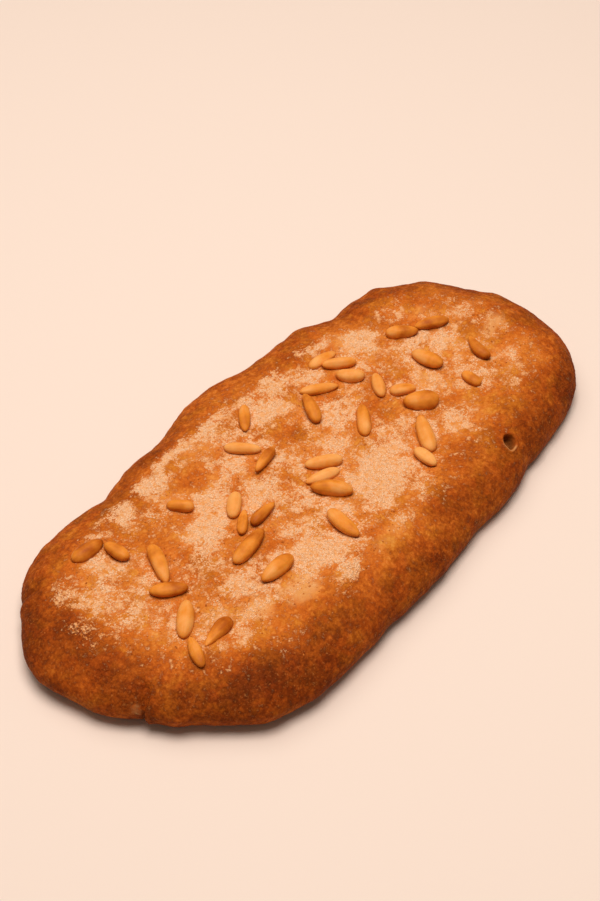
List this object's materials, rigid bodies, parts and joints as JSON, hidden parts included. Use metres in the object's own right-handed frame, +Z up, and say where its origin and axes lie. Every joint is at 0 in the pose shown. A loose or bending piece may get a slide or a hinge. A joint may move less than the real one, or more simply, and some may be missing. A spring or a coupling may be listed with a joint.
{
  "type": "pine nut coca",
  "caption": "Long oval flatbread with a rounded rim, a lightly sugared golden-brown crust and toasted pine nuts half sunk in its top.",
  "frame": {"origin": "middle of the footprint, on the flat sole that the bread lies on", "axes": "+X along the bread's long axis, +Z up through the crust that carries the nuts, +Y across"},
  "size_m": [0.2928, 0.1431, 0.0268],
  "materials": {
    "crust": "baked bread crust, matt, golden brown with darker rim",
    "pine_nut": "roasted kernel, satin, golden",
    "toasted_nut": "roasted kernel, satin, orange brown",
    "sugar": "loose sugar grains"
  },
  "bodies": {
    "root": {"coca_bread": "crust", "pine_nut_01": "pine_nut", "pine_nut_02": "toasted_nut", "pine_nut_03": "pine_nut", "pine_nut_04": "toasted_nut", "pine_nut_05": "pine_nut", "pine_nut_06": "pine_nut", "pine_nut_07": "pine_nut", "pine_nut_08": "pine_nut", "pine_nut_09": "pine_nut", "pine_nut_10": "pine_nut", "pine_nut_11": "pine_nut", "pine_nut_12": "pine_nut", "pine_nut_13": "pine_nut", "pine_nut_14": "pine_nut", "pine_nut_15": "pine_nut", "pine_nut_16": "pine_nut", "pine_nut_17": "pine_nut", "pine_nut_18": "pine_nut", "pine_nut_19": "toasted_nut", "pine_nut_20": "pine_nut", "pine_nut_21": "pine_nut", "pine_nut_22": "pine_nut", "pine_nut_23": "pine_nut", "pine_nut_24": "pine_nut", "pine_nut_25": "toasted_nut", "pine_nut_26": "pine_nut", "pine_nut_27": "pine_nut", "pine_nut_28": "pine_nut", "pine_nut_29": "pine_nut", "pine_nut_30": "toasted_nut", "pine_nut_31": "pine_nut", "pine_nut_32": "pine_nut", "pine_nut_33": "toasted_nut", "pine_nut_34": "pine_nut", "pine_nut_35": "pine_nut", "pine_nut_36": "pine_nut"}
  },
  "joints": []
}
